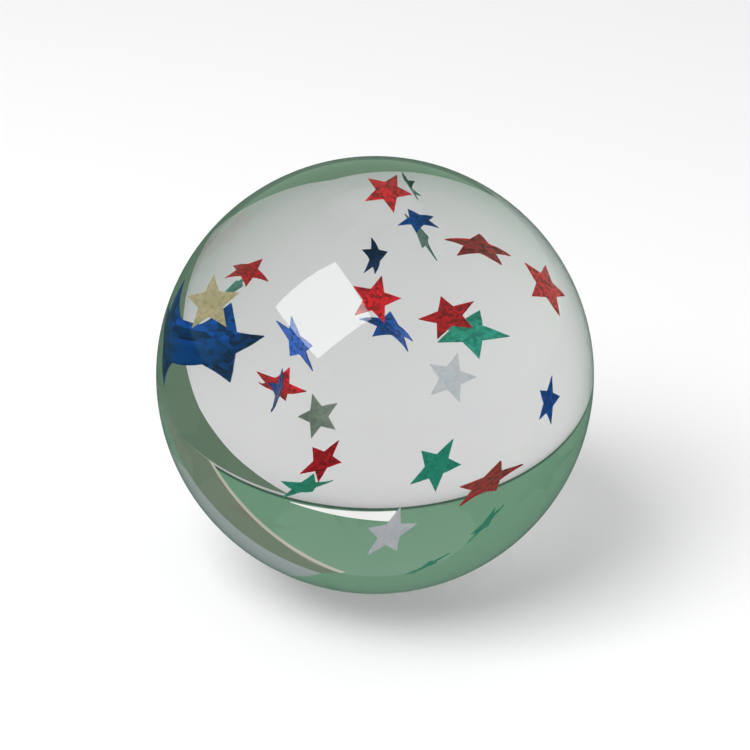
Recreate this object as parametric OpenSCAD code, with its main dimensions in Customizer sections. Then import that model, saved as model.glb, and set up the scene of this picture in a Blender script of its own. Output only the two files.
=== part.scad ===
// Clear rubber bouncy ball with foil stars sealed inside.
// The ball is pressed from two clear half balls that meet at the middle plane, with the
// stars between them, and cured into one. The origin is the middle of the ball, +Z is up,
// and the side that faces -Y is the front.

/* [Ball] */
// Diameter of the ball
ball_d = 45; // [38:1:60]
// Least thickness of clear rubber over the tips of a star
cover_t = 0.6; // [0.4:0.1:1.5]

/* [Foil stars] */
// Diameter of the circle through the tips of a star
star_d = 4.2; // [3:0.1:4.8]
// Diameter of the circle through the notches between the tips
notch_d = 1.9; // [1.3:0.1:2.3]
// Thickness of the foil
foil_t = 0.12; // [0.08:0.01:0.25]
// Clearance between the foil and the pocket that the rubber leaves for it
foil_gap = 0.02; // [0.01:0.01:0.04]
// Bend radius of a slightly curled star
loose_curl = 6; // [4:0.5:12]
// Bend radius of a tightly curled star
tight_curl = 3; // [2.6:0.1:4]

/* [Hidden] */
// A star's middle stays within this distance of the ball's middle
free_r = ball_d/2 - cover_t - star_d/2;
star_tips = 5;
tip_step = 180/star_tips;
// Distance of a star's straight edges from its middle
edge_r = star_d*notch_d*sin(tip_step)/2
    / sqrt(star_d^2 + notch_d^2 - 2*star_d*notch_d*cos(tip_step));

// Each star is [place, turn, curl].
// The place is [right, back, up] in hundredths of free_r, in steps of five. A star lies clear of
// the middle plane, or across it at its own middle.
// The turn is [swing about the upright, nod forward, spin in its own plane] in degrees,
// in steps of fifteen, from a star that faces the front with one tip up.
// The curl is the bend radius, from front to back, and 0 on a flat star.
red_stars = [
    [[  5,  20,  70], [-15, -30,  15], -loose_curl],
    [[ 30,  55,  15], [-15,  30,  15], -loose_curl],
    [[ 55,  35,  15], [-30,   0,  15],  0],
    [[  0, -25,  45], [  0, -45,  15],  0],
    [[ 25,  15,  15], [ 15,  15, -15],  0],
    [[ 30,  40, -50], [-75, -60, -60],  0],
    [[-20, -35, -20], [-60, -45,   0],  0],
    [[-35, -10,   0], [ 45, -75,   0], -tight_curl],
    [[-50,   0,  45], [  0, -90,  45],  tight_curl],
];
blue_stars = [
    [[ 20, -25,  90], [ 30, -90,   0],  tight_curl],
    [[  0, -45,  80], [ 60, -15, 105],  tight_curl],
    [[  5,  35,   0], [-30,  30,  15], -tight_curl],
    [[ 70, -25,   0], [ 75,   0,  30],  0],
    [[-40, -50,  15], [-90, -15, -165], -tight_curl],
    [[-25,  25,   0], [-60,  15,   0],  0],
    [[-35,  80, -30], [ 15,   0,  15],  loose_curl],
];
green_stars = [
    [[ 15,   5,  90], [-75,  15, 165],  tight_curl],
    [[ 15,  35,  35], [-60,  15,  60],  0],
    [[ 25,  60, -15], [ 60, -75, -75],  loose_curl],
    [[ 20,   5, -35], [-45, -45,   0],  0],
    [[-25, -20, -35], [105,  75, -165],  loose_curl],
    [[-40,  55,   0], [-135, -30,  30],  0],
    [[ 20, -35, -65], [105,  60,   0],  0],
    [[ 40, -20, -50], [105,  45, -15],  0],
];
silver_stars = [
    [[ 30, -35,  15], [  0, -30,  15],  loose_curl],
    [[  5,  -5, -55], [-45, -45, -15],  0],
    [[-25, -75,  15], [-30, -30, -30],  loose_curl],
];
gold_stars = [
    [[-55,  25,  15], [  0, -15,   0],  0],
];

star_sets = [
    ["red_star", red_stars, "crimson"],
    ["blue_star", blue_stars, "royalblue"],
    ["green_star", green_stars, "seagreen"],
    ["silver_star", silver_stars, "silver"],
    ["gold_star", gold_stars, "darkkhaki"],
];
function star_name(set, i) = str(set[0], "_", i + 1);

ball_fn = 160;
curl_fn = 160;
clear_rubber = [0.86, 0.9, 0.88, 0.3];

// Flat outline of a star, with its edges moved out by grow
module star_outline(grow) {
    scale_up = 1 + grow/edge_r;
    polygon([
        for (i = [0:2*star_tips - 1])
            let (r = scale_up*(i % 2 == 0 ? star_d : notch_d)/2, a = 90 - tip_step*i)
            [r*cos(a), r*sin(a)]
    ]);
}

// A star that faces the front, flat or bent about its upright, and grown all round for its pocket
module star_form(curl, grow = 0) {
    thick = foil_t + 2*grow;
    bend_r = abs(curl);
    if (curl == 0)
        rotate([90, 0, 0])
            linear_extrude(thick, center = true)
                star_outline(grow);
    else
        intersection() {
            rotate([90, 0, 0])
                linear_extrude(2*bend_r, center = true)
                    star_outline(grow);
            translate([0, curl, 0])
                difference() {
                    cylinder(h = 2*star_d, r = bend_r + thick/2, center = true, $fn = curl_fn);
                    cylinder(h = 3*star_d, r = bend_r - thick/2, center = true, $fn = curl_fn);
                }
        }
}

// A star at its place and turn in the ball
module placed_star(star, grow = 0) {
    translate(star[0]*free_r/100)
        rotate([star[1][1], 0, star[1][0]])
            rotate([0, star[1][2], 0])
                star_form(star[2], grow);
}

module foil_star(star, tint) {
    color(tint) placed_star(star);
}

// One clear half ball: side is 1 above the middle plane and -1 below it
module half_ball(side) {
    color(clear_rubber)
        difference() {
            intersection() {
                sphere(d = ball_d, $fn = ball_fn);
                translate([0, 0, side*ball_d])
                    cube(2*ball_d, center = true);
            }
            for (set = star_sets)
                for (star = set[1])
                    if (side*star[0][2]*free_r/100 > -star_d/2 - foil_gap)
                        placed_star(star, foil_gap);
        }
}

module upper_half() { half_ball(1); }
module lower_half() { half_ball(-1); }

upper_half();
lower_half();
for (set = star_sets)
    for (i = [0:len(set[1]) - 1])
        foil_star(set[1][i], set[2]);
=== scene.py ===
import math
import bpy
import numpy as np
from mathutils import Matrix, Vector


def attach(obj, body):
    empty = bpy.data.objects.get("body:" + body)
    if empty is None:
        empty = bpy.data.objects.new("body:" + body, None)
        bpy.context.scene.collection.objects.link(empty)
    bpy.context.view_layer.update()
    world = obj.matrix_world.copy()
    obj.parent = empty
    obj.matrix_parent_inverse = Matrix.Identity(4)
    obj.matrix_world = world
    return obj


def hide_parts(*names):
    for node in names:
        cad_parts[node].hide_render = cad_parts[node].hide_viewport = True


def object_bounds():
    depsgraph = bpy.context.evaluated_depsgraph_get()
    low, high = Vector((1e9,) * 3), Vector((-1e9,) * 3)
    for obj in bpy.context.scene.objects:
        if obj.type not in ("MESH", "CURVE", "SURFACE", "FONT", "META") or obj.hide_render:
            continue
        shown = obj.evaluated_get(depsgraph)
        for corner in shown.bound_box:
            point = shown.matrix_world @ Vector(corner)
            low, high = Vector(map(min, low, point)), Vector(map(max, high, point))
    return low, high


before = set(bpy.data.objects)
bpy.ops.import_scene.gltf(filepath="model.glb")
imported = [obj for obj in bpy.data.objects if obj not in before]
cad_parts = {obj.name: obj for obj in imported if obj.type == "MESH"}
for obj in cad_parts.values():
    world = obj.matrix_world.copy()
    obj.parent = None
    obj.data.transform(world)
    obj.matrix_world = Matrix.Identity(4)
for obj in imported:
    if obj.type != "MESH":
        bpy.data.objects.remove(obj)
cadBox = [list(corner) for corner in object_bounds()]
floorLevel = cadBox[0][2]
scene = bpy.context.scene
print("frame loaded,", len(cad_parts), "CAD nodes")


def selectOnly(piece):
    bpy.ops.object.select_all(action="DESELECT")
    piece.select_set(True)
    bpy.context.view_layer.objects.active = piece


def addModifier(piece, kind, **settings):
    # added and applied at once, so the finished mesh has no live modifiers
    selectOnly(piece)
    modifier = piece.modifiers.new(kind.lower(), kind)
    for name, value in settings.items():
        setattr(modifier, name, value)
    bpy.ops.object.modifier_apply(modifier=modifier.name)


def addNode(tree, kind, **settings):
    node = tree.nodes.new(kind)
    for name, value in settings.items():
        setattr(node, name, value)
    return node


def setInputs(node, **values):
    for name, value in values.items():
        node.inputs[name.replace("_", " ")].default_value = value


def newMaterial(name):
    material = bpy.data.materials.new(name)
    material.use_nodes = True
    return material, material.node_tree, material.node_tree.nodes["Principled BSDF"]


# camera at the photo's angle, with the ball in the middle of a square frame
cameraView = {"elevation": 25.0, "distance": 0.2898, "lens": 135.0, "sensor": 36.0}
tilt = math.radians(cameraView["elevation"])
bpy.ops.object.camera_add(
    location=(0, -cameraView["distance"]*math.cos(tilt), cameraView["distance"]*math.sin(tilt)),
    rotation=(math.radians(90) - tilt, 0, 0),
)
camera = bpy.context.object
camera.name = "camera"
camera.data.lens = cameraView["lens"]
camera.data.sensor_width = cameraView["sensor"]
scene.camera = camera
scene.view_settings.view_transform = "Standard"
print("camera set")


# clear rubber ball, one smooth body where the two halves have cured together
clearBall = {
    "diameter": 0.045,
    "cuts": 15,            # cuts along each edge of the starting cube
    "smoothing": 2,
    "ior": 1.5,
    "tint": (0.985, 0.99, 0.985, 1),
    "absorbColour": (0.5, 0.5, 0.5, 1),
    "absorbDensity": 18.0,
    "gloss": 0.0,          # roughness of clean rubber
    "smudge": 0.03,        # roughness where it has been handled
    "smudgeScale": 90.0,
    "smudgeFrom": 0.45,    # noise level at which a smudge begins
    "smudgeFull": 0.75,    # noise level at which it is full
    "waveScale": 160.0,
    "waveDepth": 0.000004,
}


def makeClearBall():
    radius = clearBall["diameter"]/2
    bpy.ops.object.select_all(action="DESELECT")
    bpy.ops.mesh.primitive_cube_add(size=clearBall["diameter"])
    ball = bpy.context.object
    ball.name = "clear_ball"
    bpy.ops.object.mode_set(mode="EDIT")
    bpy.ops.mesh.select_all(action="SELECT")
    bpy.ops.mesh.subdivide(number_cuts=clearBall["cuts"])
    bpy.ops.object.mode_set(mode="OBJECT")
    addModifier(ball, "CAST", cast_type="SPHERE", factor=1.0, size=radius, use_radius_as_size=False)
    addModifier(ball, "SUBSURF", levels=clearBall["smoothing"], render_levels=clearBall["smoothing"])
    addModifier(ball, "CAST", cast_type="SPHERE", factor=1.0, size=radius, use_radius_as_size=False)
    selectOnly(ball)
    bpy.ops.object.shade_smooth()
    return ball


def makeClearRubber():
    material, tree, shader = newMaterial("clearRubber")
    setInputs(shader, IOR=clearBall["ior"], Transmission_Weight=1.0, Base_Color=clearBall["tint"])
    place = addNode(tree, "ShaderNodeTexCoord")
    # faint patches where hands have dulled the gloss
    smudges = addNode(tree, "ShaderNodeTexNoise")
    setInputs(smudges, Scale=clearBall["smudgeScale"], Detail=4.0)
    gloss = addNode(tree, "ShaderNodeMapRange")
    setInputs(gloss, From_Min=clearBall["smudgeFrom"], From_Max=clearBall["smudgeFull"],
              To_Min=clearBall["gloss"], To_Max=clearBall["smudge"])
    # slight unevenness of the moulded skin
    waves = addNode(tree, "ShaderNodeTexNoise")
    setInputs(waves, Scale=clearBall["waveScale"], Detail=1.0)
    skin = addNode(tree, "ShaderNodeBump")
    setInputs(skin, Strength=1.0, Distance=clearBall["waveDepth"])
    absorb = addNode(tree, "ShaderNodeVolumeAbsorption")
    setInputs(absorb, Color=clearBall["absorbColour"], Density=clearBall["absorbDensity"])
    link = tree.links.new
    link(place.outputs["Object"], smudges.inputs["Vector"])
    link(place.outputs["Object"], waves.inputs["Vector"])
    link(smudges.outputs["Fac"], gloss.inputs["Value"])
    link(gloss.outputs["Result"], shader.inputs["Roughness"])
    link(waves.outputs["Fac"], skin.inputs["Height"])
    link(skin.outputs["Normal"], shader.inputs["Normal"])
    link(absorb.outputs["Volume"], tree.nodes["Material Output"].inputs["Volume"])
    return material


ball = makeClearBall()
ball.data.materials.append(makeClearRubber())
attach(ball, "root")
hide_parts("upper_half", "lower_half")
print("clear ball made,", len(ball.data.polygons), "faces")


# foil stars, cut from one blank, bent and crinkled where the CAD stars lie
foilStar = {
    "tips": 5,
    "tipRadius": 0.0021,
    "notchRadius": 0.00095,
    "looseCurl": 0.006,
    "tightCurl": 0.003,
    "thickness": 0.00007,
    "cuts": 7,
    "crinkleSize": 0.0013,
    "crinkleDepth": 0.00009,
    "edgeRound": 0.00001,
    "edgeAngle": 60.0,         # edges sharper than this are rounded
    "smoothAngle": 40.0,
    "cornerReach": 0.00018,    # corners of a CAD star this close together belong to one tip
    "fitGain": 0.000001,       # a later fit has to be better by this much
}


def makeStarBlank():
    bpy.ops.object.select_all(action="DESELECT")
    bpy.ops.mesh.primitive_circle_add(
        vertices=2*foilStar["tips"], radius=foilStar["tipRadius"], fill_type="NGON",
        rotation=(math.radians(90), 0, 0),
    )
    blank = bpy.context.object
    bpy.ops.object.transform_apply(location=False, rotation=True, scale=False)
    bpy.ops.object.mode_set(mode="EDIT")
    bpy.ops.mesh.select_mode(type="VERT")
    bpy.ops.mesh.select_all(action="DESELECT")
    bpy.ops.object.mode_set(mode="OBJECT")
    for vertex in blank.data.vertices:
        vertex.select = vertex.index % 2 == 1
    bpy.ops.object.mode_set(mode="EDIT")
    pull = foilStar["notchRadius"]/foilStar["tipRadius"]
    bpy.ops.transform.resize(value=(pull, pull, pull), center_override=(0, 0, 0))
    bpy.ops.mesh.select_all(action="SELECT")
    bpy.ops.mesh.poke()
    bpy.ops.mesh.subdivide(number_cuts=foilStar["cuts"])
    bpy.ops.object.mode_set(mode="OBJECT")
    return blank


def tipPoints(curl):
    # where the tips of a star lie in its own frame, one tip up, bent about the upright
    points = []
    for i in range(foilStar["tips"]):
        turn = 2*math.pi*i/foilStar["tips"]
        across = foilStar["tipRadius"]*math.sin(turn)
        depth = curl - math.copysign(math.sqrt(curl**2 - across**2), curl) if curl else 0.0
        points.append((across, depth, foilStar["tipRadius"]*math.cos(turn)))
    return np.array(points)


def cadTips(node):
    # the tips of a CAD star in order round it, each midway between its front and back corner
    corners = np.unique(np.array([vertex.co for vertex in node.data.vertices]).round(7), axis=0)
    middle = (corners.min(axis=0) + corners.max(axis=0))/2
    left, tips = corners, []
    for _ in range(foilStar["tips"]):
        far = left[np.argmax(np.linalg.norm(left - middle, axis=1))]
        near = np.linalg.norm(corners - far, axis=1) < foilStar["cornerReach"]
        tips.append(corners[near].mean(axis=0))
        left = left[np.linalg.norm(left - far, axis=1) > foilStar["notchRadius"]]
    tips = np.array(tips)
    spread = tips - tips.mean(axis=0)
    right, up = np.linalg.svd(spread)[2][:2]
    return tips[np.argsort(np.arctan2(spread @ right, spread @ up))]


def readStar(node):
    # the curl and the place of a CAD star, from the turn that brings a star's tips onto its own
    seen = cadTips(node)
    loose, tight = foilStar["looseCurl"], foilStar["tightCurl"]
    best = None
    for curl in (0, loose, -loose, tight, -tight):
        model = tipPoints(curl)
        modelMiddle, seenMiddle = model.mean(axis=0), seen.mean(axis=0)
        for order in (seen, seen[::-1]):
            for first in range(foilStar["tips"]):
                target = np.roll(order, first, axis=0)
                left, _, right = np.linalg.svd((model - modelMiddle).T @ (target - seenMiddle))
                keepHand = np.diag([1, 1, np.sign(np.linalg.det(left @ right))])
                turn = (left @ keepHand @ right).T
                shift = seenMiddle - turn @ modelMiddle
                miss = np.abs(model @ turn.T + shift - target).max()
                if best is None or miss < best[0] - foilStar["fitGain"]:
                    best = (miss, curl, turn, shift)
    miss, curl, turn, shift = best
    return curl, Matrix.Translation(Vector(shift)) @ Matrix(turn.tolist()).to_4x4(), miss


def makeStar(name, blank, node, crinkle):
    curl, place, miss = readStar(node)
    star = blank.copy()
    star.data = blank.data.copy()
    star.name = star.data.name = name
    scene.collection.objects.link(star)
    if curl:
        addModifier(star, "SIMPLE_DEFORM", deform_method="BEND", deform_axis="Z",
                    angle=star.dimensions.x/curl)
    star.matrix_world = place
    selectOnly(star)
    bpy.ops.object.transform_apply(location=True, rotation=True, scale=True)
    addModifier(star, "DISPLACE", texture=crinkle, texture_coords="LOCAL", direction="NORMAL",
                mid_level=0.5, strength=foilStar["crinkleDepth"])
    addModifier(star, "SOLIDIFY", thickness=foilStar["thickness"], offset=0.0, use_even_offset=True)
    addModifier(star, "BEVEL", width=foilStar["edgeRound"], segments=1, limit_method="ANGLE",
                angle_limit=math.radians(foilStar["edgeAngle"]))
    selectOnly(star)
    bpy.ops.object.shade_smooth_by_angle(angle=math.radians(foilStar["smoothAngle"]))
    return star, miss


# glitter grain pressed into the foil: small flat facets, some darker, each tilted its own way
foilGrain = {
    "facetScale": 4500.0,
    "mottleScale": 1500.0,
    "fleckFrom": 0.85,
    "fleckFull": 1.35,
    "leastRough": 0.28,
    "mostRough": 0.5,
}


def makeFoilGrain():
    group = bpy.data.node_groups.new("foilGrain", "ShaderNodeTree")
    for name, kind, default in (
        ("Foil", "NodeSocketColor", (0.5, 0.5, 0.5, 1)),
        ("Fleck", "NodeSocketColor", (0.1, 0.1, 0.1, 1)),
        ("Fleck Amount", "NodeSocketFloat", 0.4),
        ("Facet Tilt", "NodeSocketFloat", 0.3),
        ("Facet Scale", "NodeSocketFloat", foilGrain["facetScale"]),
    ):
        socket = group.interface.new_socket(name, in_out="INPUT", socket_type=kind)
        socket.default_value = default
    for name, kind in (
        ("Colour", "NodeSocketColor"),
        ("Roughness", "NodeSocketFloat"),
        ("Normal", "NodeSocketVector"),
    ):
        group.interface.new_socket(name, in_out="OUTPUT", socket_type=kind)
    source = addNode(group, "NodeGroupInput")
    result = addNode(group, "NodeGroupOutput")
    place = addNode(group, "ShaderNodeTexCoord")
    facets = addNode(group, "ShaderNodeTexVoronoi")
    mottle = addNode(group, "ShaderNodeTexNoise")
    setInputs(mottle, Scale=foilGrain["mottleScale"], Detail=3.0)
    parts = addNode(group, "ShaderNodeSeparateColor")
    pick = addNode(group, "ShaderNodeMath", operation="ADD")
    fleckMask = addNode(group, "ShaderNodeMapRange")
    setInputs(fleckMask, From_Min=foilGrain["fleckFrom"], From_Max=foilGrain["fleckFull"])
    fleckShare = addNode(group, "ShaderNodeMath", operation="MULTIPLY")
    colour = addNode(group, "ShaderNodeMix", data_type="RGBA")
    rough = addNode(group, "ShaderNodeMapRange")
    setInputs(rough, To_Min=foilGrain["leastRough"], To_Max=foilGrain["mostRough"])
    offset = addNode(group, "ShaderNodeVectorMath", operation="SUBTRACT")
    offset.inputs[1].default_value = (0.5, 0.5, 0.5)     # so that facets tilt evenly all ways
    tilted = addNode(group, "ShaderNodeVectorMath", operation="SCALE")
    surface = addNode(group, "ShaderNodeNewGeometry")
    summed = addNode(group, "ShaderNodeVectorMath", operation="ADD")
    normal = addNode(group, "ShaderNodeVectorMath", operation="NORMALIZE")
    link = group.links.new
    link(place.outputs["Object"], facets.inputs["Vector"])
    link(source.outputs["Facet Scale"], facets.inputs["Scale"])
    link(place.outputs["Object"], mottle.inputs["Vector"])
    link(facets.outputs["Color"], parts.inputs["Color"])
    link(parts.outputs["Red"], pick.inputs[0])
    link(mottle.outputs["Fac"], pick.inputs[1])
    link(pick.outputs["Value"], fleckMask.inputs["Value"])
    link(fleckMask.outputs["Result"], fleckShare.inputs[0])
    link(source.outputs["Fleck Amount"], fleckShare.inputs[1])
    link(fleckShare.outputs["Value"], colour.inputs["Factor"])
    link(source.outputs["Foil"], colour.inputs["A"])
    link(source.outputs["Fleck"], colour.inputs["B"])
    link(parts.outputs["Green"], rough.inputs["Value"])
    link(facets.outputs["Color"], offset.inputs[0])
    link(offset.outputs["Vector"], tilted.inputs["Vector"])
    link(source.outputs["Facet Tilt"], tilted.inputs["Scale"])
    link(surface.outputs["Normal"], summed.inputs[0])
    link(tilted.outputs["Vector"], summed.inputs[1])
    link(summed.outputs["Vector"], normal.inputs[0])
    link(colour.outputs["Result"], result.inputs["Colour"])
    link(rough.outputs["Result"], result.inputs["Roughness"])
    link(normal.outputs["Vector"], result.inputs["Normal"])
    return group


foilFinishes = {
    "red": {"foil": (1.0, 0.0, 0.025, 1), "fleck": (0.22, 0.0, 0.01, 1),
            "amount": 0.8, "tilt": 0.3, "metal": 0.7},
    "blue": {"foil": (0.0, 0.16, 0.85, 1), "fleck": (0.0, 0.02, 0.17, 1),
             "amount": 0.7, "tilt": 0.3, "metal": 0.85},
    # painted shade: a darker copy of the blue foil for stars in shadow
    "shadedBlue": {"foil": (0.0, 0.05, 0.35, 1), "fleck": (0.0, 0.008, 0.07, 1),
                 "amount": 0.7, "tilt": 0.3, "metal": 0.85},
    "green": {"foil": (0.05, 0.54, 0.40, 1), "fleck": (0.01, 0.24, 0.17, 1),
              "amount": 0.5, "tilt": 0.2, "metal": 0.7},
    # painted shade: a darker copy of the green foil for stars in shadow
    "shadedGreen": {"foil": (0.0, 0.17, 0.12, 1), "fleck": (0.0, 0.06, 0.04, 1),
                  "amount": 0.5, "tilt": 0.2, "metal": 0.85},
    "silver": {"foil": (0.93, 0.88, 0.99, 1), "fleck": (0.74, 0.70, 0.80, 1),
               "amount": 0.4, "tilt": 0.15, "metal": 0.1},
    # painted shade: a darker copy of the silver foil for a star in shadow
    "shadedSilver": {"foil": (0.30, 0.33, 0.29, 1), "fleck": (0.17, 0.19, 0.17, 1),
                   "amount": 0.5, "tilt": 0.2, "metal": 0.5},
    "gold": {"foil": (0.98, 0.78, 0.47, 1), "fleck": (0.66, 0.52, 0.30, 1),
             "amount": 0.5, "tilt": 0.2, "metal": 0.4},
}


def makeFoil(colourName, grain):
    finish = foilFinishes[colourName]
    material, tree, shader = newMaterial(colourName + "Foil")
    shader.inputs["Metallic"].default_value = finish["metal"]
    grainNode = addNode(tree, "ShaderNodeGroup", node_tree=grain)
    setInputs(grainNode, Foil=finish["foil"], Fleck=finish["fleck"],
              Fleck_Amount=finish["amount"], Facet_Tilt=finish["tilt"])
    link = tree.links.new
    link(grainNode.outputs["Colour"], shader.inputs["Base Color"])
    link(grainNode.outputs["Roughness"], shader.inputs["Roughness"])
    link(grainNode.outputs["Normal"], shader.inputs["Normal"])
    return material


grain = makeFoilGrain()
foils = {colourName: makeFoil(colourName, grain) for colourName in foilFinishes}
blank = makeStarBlank()
crinkle = bpy.data.textures.new("foilCrinkle", "CLOUDS")
crinkle.noise_scale = foilStar["crinkleSize"]
# stars given darker copies of their foil colour, painted shade for stars that lie in shadow
shadedStars = {
    "blue_star_2": "shadedBlue", "blue_star_5": "shadedBlue",
    "green_star_1": "shadedGreen", "green_star_2": "shadedGreen",
    "silver_star_3": "shadedSilver",
}
starNames = sorted(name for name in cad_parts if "_star_" in name)
worst = 0.0
for name in starNames:
    colourName = name.split("_")[0]
    star, miss = makeStar("foil_" + name, blank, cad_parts[name], crinkle)
    star.data.materials.append(foils[shadedStars.get(name, colourName)])
    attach(star, "root")
    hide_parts(name)
    worst = max(worst, miss)
bpy.data.objects.remove(blank)
print("foil stars made,", len(starNames), "stars, largest miss", round(worst*1000, 3), "mm")


# pale floor, soft light and plain cards round the ball
studio = {
    "floorRadius": 0.9,
    "floorCorners": 128,
    "floorColour": (0.93, 0.92, 0.93, 1),
    "rim": (0.07, 0.14, 0.10, 1),           # below the edge of the floor
    "backdrop": (0.22, 0.43, 0.28, 1),      # what the ball shows above the floor
    "fillLow": (0.14, 0.22, 0.16, 1),       # soft light from near the floor
    "fillHigh": (0.67, 0.67, 0.67, 1),      # soft light from above
    "fillFull": 0.5,                        # height of the sky at which the soft light is full
    "horizonBlend": 0.004,                  # height over which the rim colour turns into the backdrop
    "softboxAim": (-0.42, -0.43, 0.79),
    "softboxDistance": 0.6,
    "softboxSize": (0.41, 0.37),
    "softboxRoll": -24.0,
    "softboxPower": 2.9,
    "cardLift": 0.0003,                     # a card that lies on the floor is this far above it
}


def makeFloor():
    bpy.ops.object.select_all(action="DESELECT")
    bpy.ops.mesh.primitive_circle_add(
        vertices=studio["floorCorners"], radius=studio["floorRadius"], fill_type="NGON",
        location=(0, 0, floorLevel),
    )
    floor = bpy.context.object
    floor.name = "floor"
    material, _, shader = newMaterial("paleFloor")
    setInputs(shader, Base_Color=studio["floorColour"], Roughness=0.7)
    shader.inputs["Specular IOR Level"].default_value = 0.0
    floor.data.materials.append(material)
    floor.visible_glossy = False     # so that the rim of the ball stays dark


def addRamp(tree, stops):
    ramp = addNode(tree, "ShaderNodeValToRGB")
    elements = ramp.color_ramp.elements
    elements[0].position, elements[0].color = stops[0]
    elements[1].position, elements[1].color = stops[-1]
    for position, colour in stops[1:-1]:
        elements.new(position).color = colour
    return ramp


def makeWorld():
    # soft light that is stronger from above, and a plain sage backdrop for the camera, gloss and glass
    world = bpy.data.worlds.new("studio")
    scene.world = world
    world.use_nodes = True
    tree = world.node_tree
    fill = tree.nodes["Background"]
    place = addNode(tree, "ShaderNodeTexCoord")
    height = addNode(tree, "ShaderNodeSeparateXYZ")
    fillRamp = addRamp(tree, [
        (0.0, studio["fillLow"]), (studio["fillFull"], studio["fillHigh"]), (1.0, studio["fillHigh"])])
    backdropRamp = addRamp(tree, [
        (0.0, studio["rim"]), (studio["horizonBlend"], studio["backdrop"]), (1.0, studio["backdrop"])])
    backdrop = addNode(tree, "ShaderNodeBackground")
    path = addNode(tree, "ShaderNodeLightPath")
    seen = addNode(tree, "ShaderNodeMath", operation="ADD")
    seenToo = addNode(tree, "ShaderNodeMath", operation="ADD", use_clamp=True)
    mix = addNode(tree, "ShaderNodeMixShader")
    link = tree.links.new
    link(place.outputs["Generated"], height.inputs["Vector"])
    link(height.outputs["Z"], fillRamp.inputs["Fac"])
    link(height.outputs["Z"], backdropRamp.inputs["Fac"])
    link(fillRamp.outputs["Color"], fill.inputs["Color"])
    link(backdropRamp.outputs["Color"], backdrop.inputs["Color"])
    link(path.outputs["Is Camera Ray"], seen.inputs[0])
    link(path.outputs["Is Glossy Ray"], seen.inputs[1])
    link(seen.outputs["Value"], seenToo.inputs[0])
    link(path.outputs["Is Transmission Ray"], seenToo.inputs[1])
    link(seenToo.outputs["Value"], mix.inputs["Fac"])
    link(fill.outputs["Background"], mix.inputs[1])
    link(backdrop.outputs["Background"], mix.inputs[2])
    link(mix.outputs["Shader"], tree.nodes["World Output"].inputs["Surface"])


def makeSoftbox():
    aim = Vector(studio["softboxAim"]).normalized()
    bpy.ops.object.light_add(type="AREA")
    softbox = bpy.context.object
    softbox.name = "softbox"
    softbox.data.shape = "RECTANGLE"
    softbox.data.size, softbox.data.size_y = studio["softboxSize"]
    softbox.data.energy = studio["softboxPower"]
    roll = Matrix.Rotation(math.radians(studio["softboxRoll"]), 4, "Z")
    turn = aim.to_track_quat("Z", "Y").to_matrix().to_4x4() @ roll
    softbox.matrix_world = Matrix.Translation(aim*studio["softboxDistance"]) @ turn
    softbox.visible_transmission = False     # its image inside the ball would be too bright


# plain cards round the ball, hidden from the camera, that show only through the ball
cardLevel = floorLevel + studio["cardLift"]
cards = {
    "strip_card": {"colour": (1.35, 1.35, 1.33, 1), "corners": (
        (-0.055, 0.86, -0.010), (0.24, 0.86, -0.006), (0.24, 0.86, -0.003), (-0.055, 0.86, 0.034))},
    # painted shade: a dark sage sheet on the floor, seen only through the ball, where the ball's
    # shadow and contact shade lie, running on as darker floor further back
    "ground_card": {"colour": (0.18, 0.26, 0.18, 1), "corners": (
        (-0.008, 0.0205, cardLevel), (-0.004, 0.012, cardLevel), (0.80, 0.010, cardLevel),
        (0.80, 0.40, cardLevel), (0.11, 0.42, cardLevel), (0.04, 0.10, cardLevel),
        (0.029, 0.06, cardLevel), (0.013, 0.020, cardLevel), (0.002, 0.026, cardLevel))},
    "cream_edge": {"colour": (0.75, 0.70, 0.58, 1), "corners": (
        (0.345, 0.49, floorLevel), (0.367, 0.49, floorLevel),
        (0.085, 0.545, 0.272), (0.068, 0.548, 0.257))},
    "olive_panel": {"colour": (0.24, 0.29, 0.21, 1), "corners": (
        (0.367, 0.49, floorLevel), (0.60, 0.20, floorLevel), (0.48, 0.36, 0.10), (0.134, 0.52, 0.30),
        (0.085, 0.545, 0.272))},
    "grey_panel": {"colour": (0.52, 0.54, 0.58, 1), "corners": (
        (0.48, 0.36, 0.10), (0.58, 0.10, 0.14), (0.25, 0.28, 0.46), (0.134, 0.52, 0.30))},
    "top_card": {"colour": (1.1, 1.1, 1.1, 1), "corners": (
        (-0.35, -0.35, 0.40), (0.35, -0.35, 0.40), (0.35, 0.25, 0.40), (-0.35, 0.25, 0.40))},
}


def makeCard(name):
    corners = cards[name]["corners"]
    bpy.ops.object.select_all(action="DESELECT")
    bpy.ops.mesh.primitive_circle_add(vertices=len(corners), fill_type="NGON")
    card = bpy.context.object
    card.name = name
    for vertex, corner in zip(card.data.vertices, corners):
        vertex.co = corner
    material, _, shader = newMaterial(name + "Paint")
    setInputs(shader, Base_Color=(0, 0, 0, 1), Roughness=1.0, Emission_Color=cards[name]["colour"],
              Emission_Strength=1.0)
    shader.inputs["Specular IOR Level"].default_value = 0.0
    card.data.materials.append(material)
    card.visible_camera = False
    card.visible_diffuse = False
    card.visible_glossy = False
    card.visible_shadow = False


makeFloor()
makeWorld()
makeSoftbox()
for name in cards:
    makeCard(name)
print("studio set")
